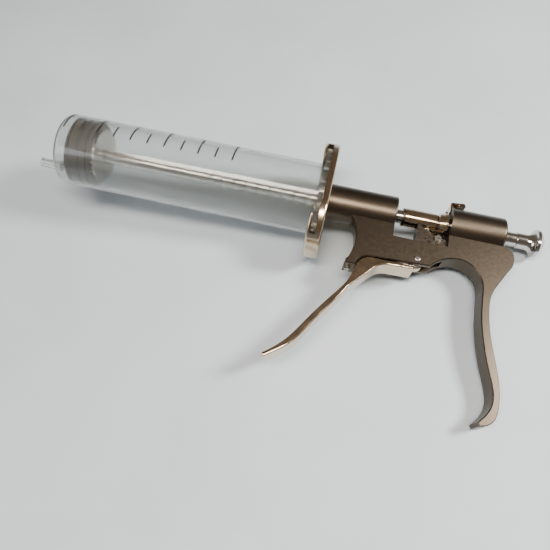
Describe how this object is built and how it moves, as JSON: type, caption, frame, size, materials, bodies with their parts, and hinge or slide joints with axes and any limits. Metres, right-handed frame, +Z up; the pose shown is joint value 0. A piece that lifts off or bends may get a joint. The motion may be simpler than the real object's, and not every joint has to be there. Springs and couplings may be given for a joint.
{
  "type": "pistol-grip dosing syringe",
  "caption": "Pistol-grip ratchet syringe: a clear graduated barrel clipped in a metal holder, grooved push rod with pull knob, hinged trigger, drive pawl and release lever.",
  "frame": {"origin": "centre of the bounding box at the surface the syringe lies on", "axes": "+X from the tip to the pull knob, +Y away from the grip, +Z up from the surface; the syringe lies on its side, rolled 2.5 degrees and pitched 7.1 degrees as it rests on holder rim, knob and grip toe"},
  "size_m": [0.2192, 0.1084, 0.0472],
  "materials": {
    "clear_plastic": "frosted, translucent",
    "rubber": "matte",
    "white_plastic": "moulded",
    "chrome": "polished",
    "steel": "machined",
    "dark_steel": "ground, darkened",
    "spring_steel": "drawn wire",
    "black_coat": "satin black coating"
  },
  "bodies": {
    "frame": {"barrel": "clear_plastic", "holder_plate": "chrome", "holder_bush": "steel", "body_frame": "black_coat", "window_bush": "chrome", "rear_bush": "steel", "rod_wiper": "rubber", "trigger_pivot_pin": "steel", "trigger_return_spring": "spring_steel", "stop_screw": "steel", "lock_spring": "spring_steel", "release_pin": "steel", "release_post": "chrome", "release_spring": "spring_steel"},
    "plunger": {"ratchet_rod": "chrome", "stopper": "rubber", "stopper_core": "white_plastic", "pusher_disc": "steel", "pull_knob": "chrome", "knob_pin": "steel"},
    "trigger": {"trigger_lever": "chrome"},
    "carrier": {"carrier_block": "dark_steel", "drive_sleeve": "chrome", "sleeve_clip": "dark_steel", "link_pin": "steel", "pawl_pin": "steel", "pawl_spring": "spring_steel"},
    "pawl": {"drive_pawl": "steel"},
    "lock": {"lock_collar": "chrome"},
    "release": {"release_lever": "chrome"}
  },
  "joints": [
    {"name": "rod_slide", "type": "slide", "parent": "frame", "child": "plunger", "axis": [0.9923, 0, -0.1241], "range_m": [-0.0035, 0.088]},
    {"name": "trigger_pivot", "type": "hinge", "parent": "frame", "child": "trigger", "pos_m": [0.05775, 0.00708, 0.0113], "axis": [0.124, -0.044, 0.9913], "range_deg": [0, 38], "stiffness_Nm_per_rad": 0.06, "springref_deg": -17.19},
    {"name": "carrier_slide", "type": "slide", "parent": "frame", "child": "carrier", "axis": [-0.9923, 0, 0.1241], "range_m": [0, 0.0088]},
    {"name": "pawl_hinge", "type": "hinge", "parent": "carrier", "child": "pawl", "pos_m": [0.06101, 0.02186, 0.01155], "axis": [0.124, -0.044, 0.9913], "range_deg": [0, 4], "stiffness_Nm_per_rad": 0.01, "springref_deg": -5.73, "deforming": ["pawl_spring"]},
    {"name": "release_hinge", "type": "hinge", "parent": "frame", "child": "release", "pos_m": [0.07005, 0.03405, 0.01096], "axis": [-0.124, 0.044, -0.9913], "range_deg": [0, 5], "stiffness_Nm_per_rad": 0.05, "springref_deg": -8.59, "deforming": ["release_spring"]},
    {"name": "lock_slide", "type": "slide", "parent": "frame", "child": "lock", "axis": [-0.0055, -0.999, -0.0437], "range_m": [0, 0.00062]}
  ],
  "couplings": [
    {"joint": "carrier_slide", "follows": "trigger_pivot", "m_per_rad": 0.0129},
    {"joint": "lock_slide", "follows": "release_hinge", "m_per_rad": 0.0069}
  ]
}
